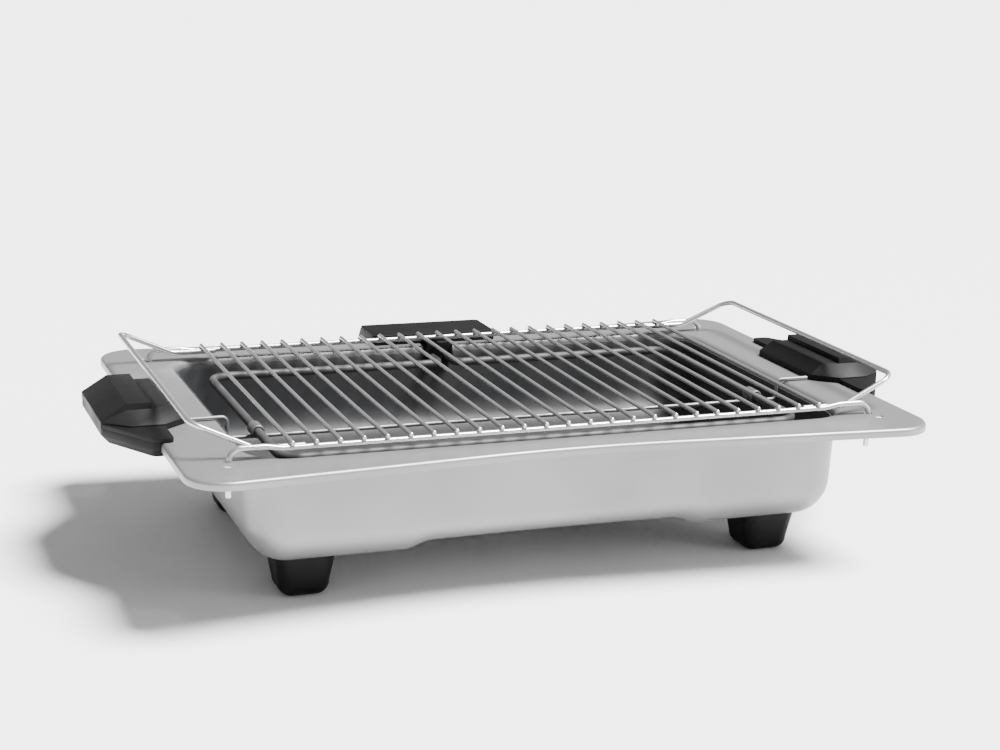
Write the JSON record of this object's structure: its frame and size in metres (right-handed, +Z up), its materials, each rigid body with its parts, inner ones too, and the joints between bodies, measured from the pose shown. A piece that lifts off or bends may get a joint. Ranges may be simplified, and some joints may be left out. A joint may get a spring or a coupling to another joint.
{
  "type": "electric barbecue grill",
  "caption": "Table-top electric grill: steel tub on feet with side handles, lift-out drip tray, tubular heating unit with a control box, and a lift-off wire rack.",
  "frame": {"origin": "on the table, below the middle of the overall box", "axes": "+X along the length, to the right as seen from the front; +Y to the back, where the control box hangs; +Z up"},
  "size_m": [0.616, 0.4147, 0.14],
  "materials": {
    "satin_steel": "satin",
    "black_plastic": "satin black",
    "screw_steel": "plated",
    "handle_plastic": "fine-grained satin black",
    "tray_coating": "dark non-stick coating",
    "element_sheath": "heat-darkened sheath",
    "bright_wire": "bright",
    "box_plastic": "satin black",
    "ceramic": "cream insulator",
    "lead_insulation": "silicone sleeve",
    "lamp_lens": "clear amber",
    "rubber_black": "moulded"
  },
  "bodies": {
    "tub": {"tub": "satin_steel", "foot_front_left": "black_plastic", "foot_front_right": "black_plastic", "foot_back_left": "black_plastic", "foot_back_right": "black_plastic", "foot_screws": "screw_steel", "left_handle_upper": "handle_plastic", "left_handle_lower": "handle_plastic", "left_handle_screws": "screw_steel", "right_handle_upper": "handle_plastic", "right_handle_lower": "handle_plastic", "right_handle_screws": "screw_steel"},
    "drip_tray": {"drip_tray": "tray_coating"},
    "heating_unit": {"heating_element": "element_sheath", "element_clips": "bright_wire", "element_support": "bright_wire", "element_neck": "box_plastic", "element_terminals": "screw_steel", "control_housing": "box_plastic", "control_lid": "box_plastic", "control_base": "box_plastic", "control_screws": "screw_steel", "thermostat": "ceramic", "internal_leads": "lead_insulation", "pilot_lamp": "ceramic", "pilot_lens": "lamp_lens", "cord_gland": "rubber_black"},
    "thermostat_dial": {"thermostat_knob": "box_plastic", "thermostat_shaft": "screw_steel"},
    "rack": {"front_rail": "bright_wire", "back_rail": "bright_wire", "left_bail": "bright_wire", "right_bail": "bright_wire", "cross_wires": "bright_wire"}
  },
  "joints": [
    {"name": "tray_lift", "type": "slide", "parent": "tub", "child": "drip_tray", "axis": [0, 0, 1], "range_m": [0, 0.12]},
    {"name": "heating_unit_lift", "type": "slide", "parent": "drip_tray", "child": "heating_unit", "axis": [0, 0, 1], "range_m": [0, 0.12]},
    {"name": "rack_lift", "type": "slide", "parent": "heating_unit", "child": "rack", "axis": [0, 0, 1], "range_m": [0, 0.1]},
    {"name": "dial_turn", "type": "hinge", "parent": "heating_unit", "child": "thermostat_dial", "pos_m": [0.024, 0.19313, 0.071], "axis": [0, 1, 0], "range_deg": [0, 270]}
  ]
}
